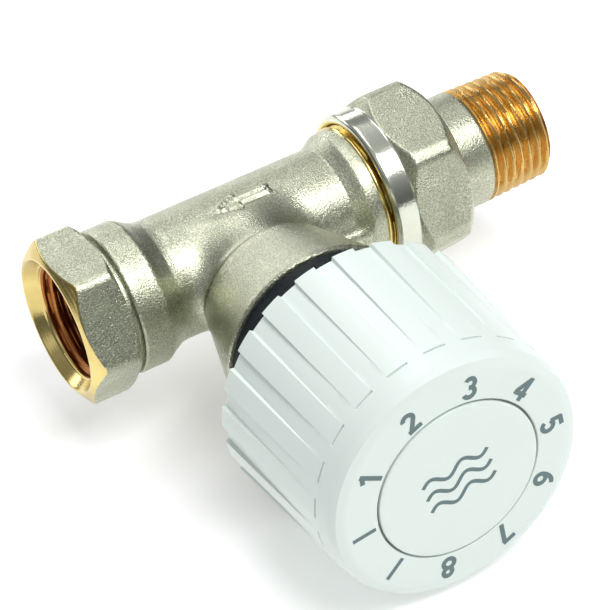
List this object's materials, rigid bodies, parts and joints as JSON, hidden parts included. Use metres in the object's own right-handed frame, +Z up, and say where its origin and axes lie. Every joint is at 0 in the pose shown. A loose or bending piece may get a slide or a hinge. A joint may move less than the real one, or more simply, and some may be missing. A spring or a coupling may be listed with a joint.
{
  "type": "thermostatic radiator valve",
  "caption": "Straight thermostatic radiator valve with a fluted white knob, union nut outlet and threaded inlet.",
  "frame": {"origin": "on the pipe axis, at the mouth of the inlet thread, 2.4 mm inside the inlet end face", "axes": "+X along the pipe from the inlet to the outlet, -Y out of the knob's dial face, +Z up when the pipe is level and the dial faces forward"},
  "size_m": [0.095, 0.0892, 0.0492],
  "materials": {
    "nickel_body": "bead-blasted nickel plate on brass",
    "nickel_bright": "turned nickel plate on brass",
    "brass": "turned",
    "steel": "ground stainless",
    "rubber": "moulded",
    "black_plastic": "moulded, satin",
    "white_plastic": "moulded, semi-gloss",
    "grey_plastic": "moulded",
    "copper": "drawn"
  },
  "bodies": {
    "body": {"valve_body": "nickel_body", "bonnet_insert": "brass", "bonnet_oring": "rubber", "gland_nut": "brass", "gland_oring": "rubber", "gland_washer": "steel", "return_spring": "steel", "base_ring": "black_plastic", "base_screws": "steel", "stop_ring": "black_plastic"},
    "tail": {"tailpiece": "brass", "tail_oring": "rubber"},
    "nut": {"union_nut": "nickel_bright"},
    "knob": {"handwheel": "white_plastic", "cap_disc": "white_plastic"},
    "sensor": {"setting_sleeve": "grey_plastic", "sensor_housing": "copper", "sensor_cover": "copper", "bellows": "brass", "overtravel_spring": "steel", "spring_cap": "grey_plastic"},
    "stem": {"push_rod": "grey_plastic", "spindle": "steel", "spindle_clip": "steel", "valve_disc": "brass", "disc_seal": "rubber", "seal_screw": "steel"}
  },
  "joints": [
    {"name": "knob_turn", "type": "hinge", "parent": "body", "child": "knob", "pos_m": [0.0326, -0.05, 0], "axis": [0, -1, 0], "range_deg": [-133.4, 190.6]},
    {"name": "sensor_travel", "type": "slide", "parent": "body", "child": "sensor", "axis": [0, -1, 0], "range_m": [-0.0015, 0.00213]},
    {"name": "stem_stroke", "type": "slide", "parent": "sensor", "child": "stem", "axis": [0, 1, 0], "range_m": [0, 0.0015], "stiffness_N_per_m": 2000, "springref_m": -0.002, "deforming": ["return_spring", "bellows"]},
    {"name": "tail_pull", "type": "slide", "parent": "body", "child": "tail", "axis": [1, 0, 0], "range_m": [0, 0.0059]},
    {"name": "nut_turn", "type": "hinge", "parent": "tail", "child": "nut", "pos_m": [0.068, 0, 0], "axis": [1, 0, 0], "range_deg": [0, 1170]}
  ],
  "couplings": [
    {"joint": "sensor_travel", "follows": "knob_turn", "m_per_rad": 0.00063662},
    {"joint": "tail_pull", "follows": "nut_turn", "m_per_rad": 0.00028871}
  ]
}
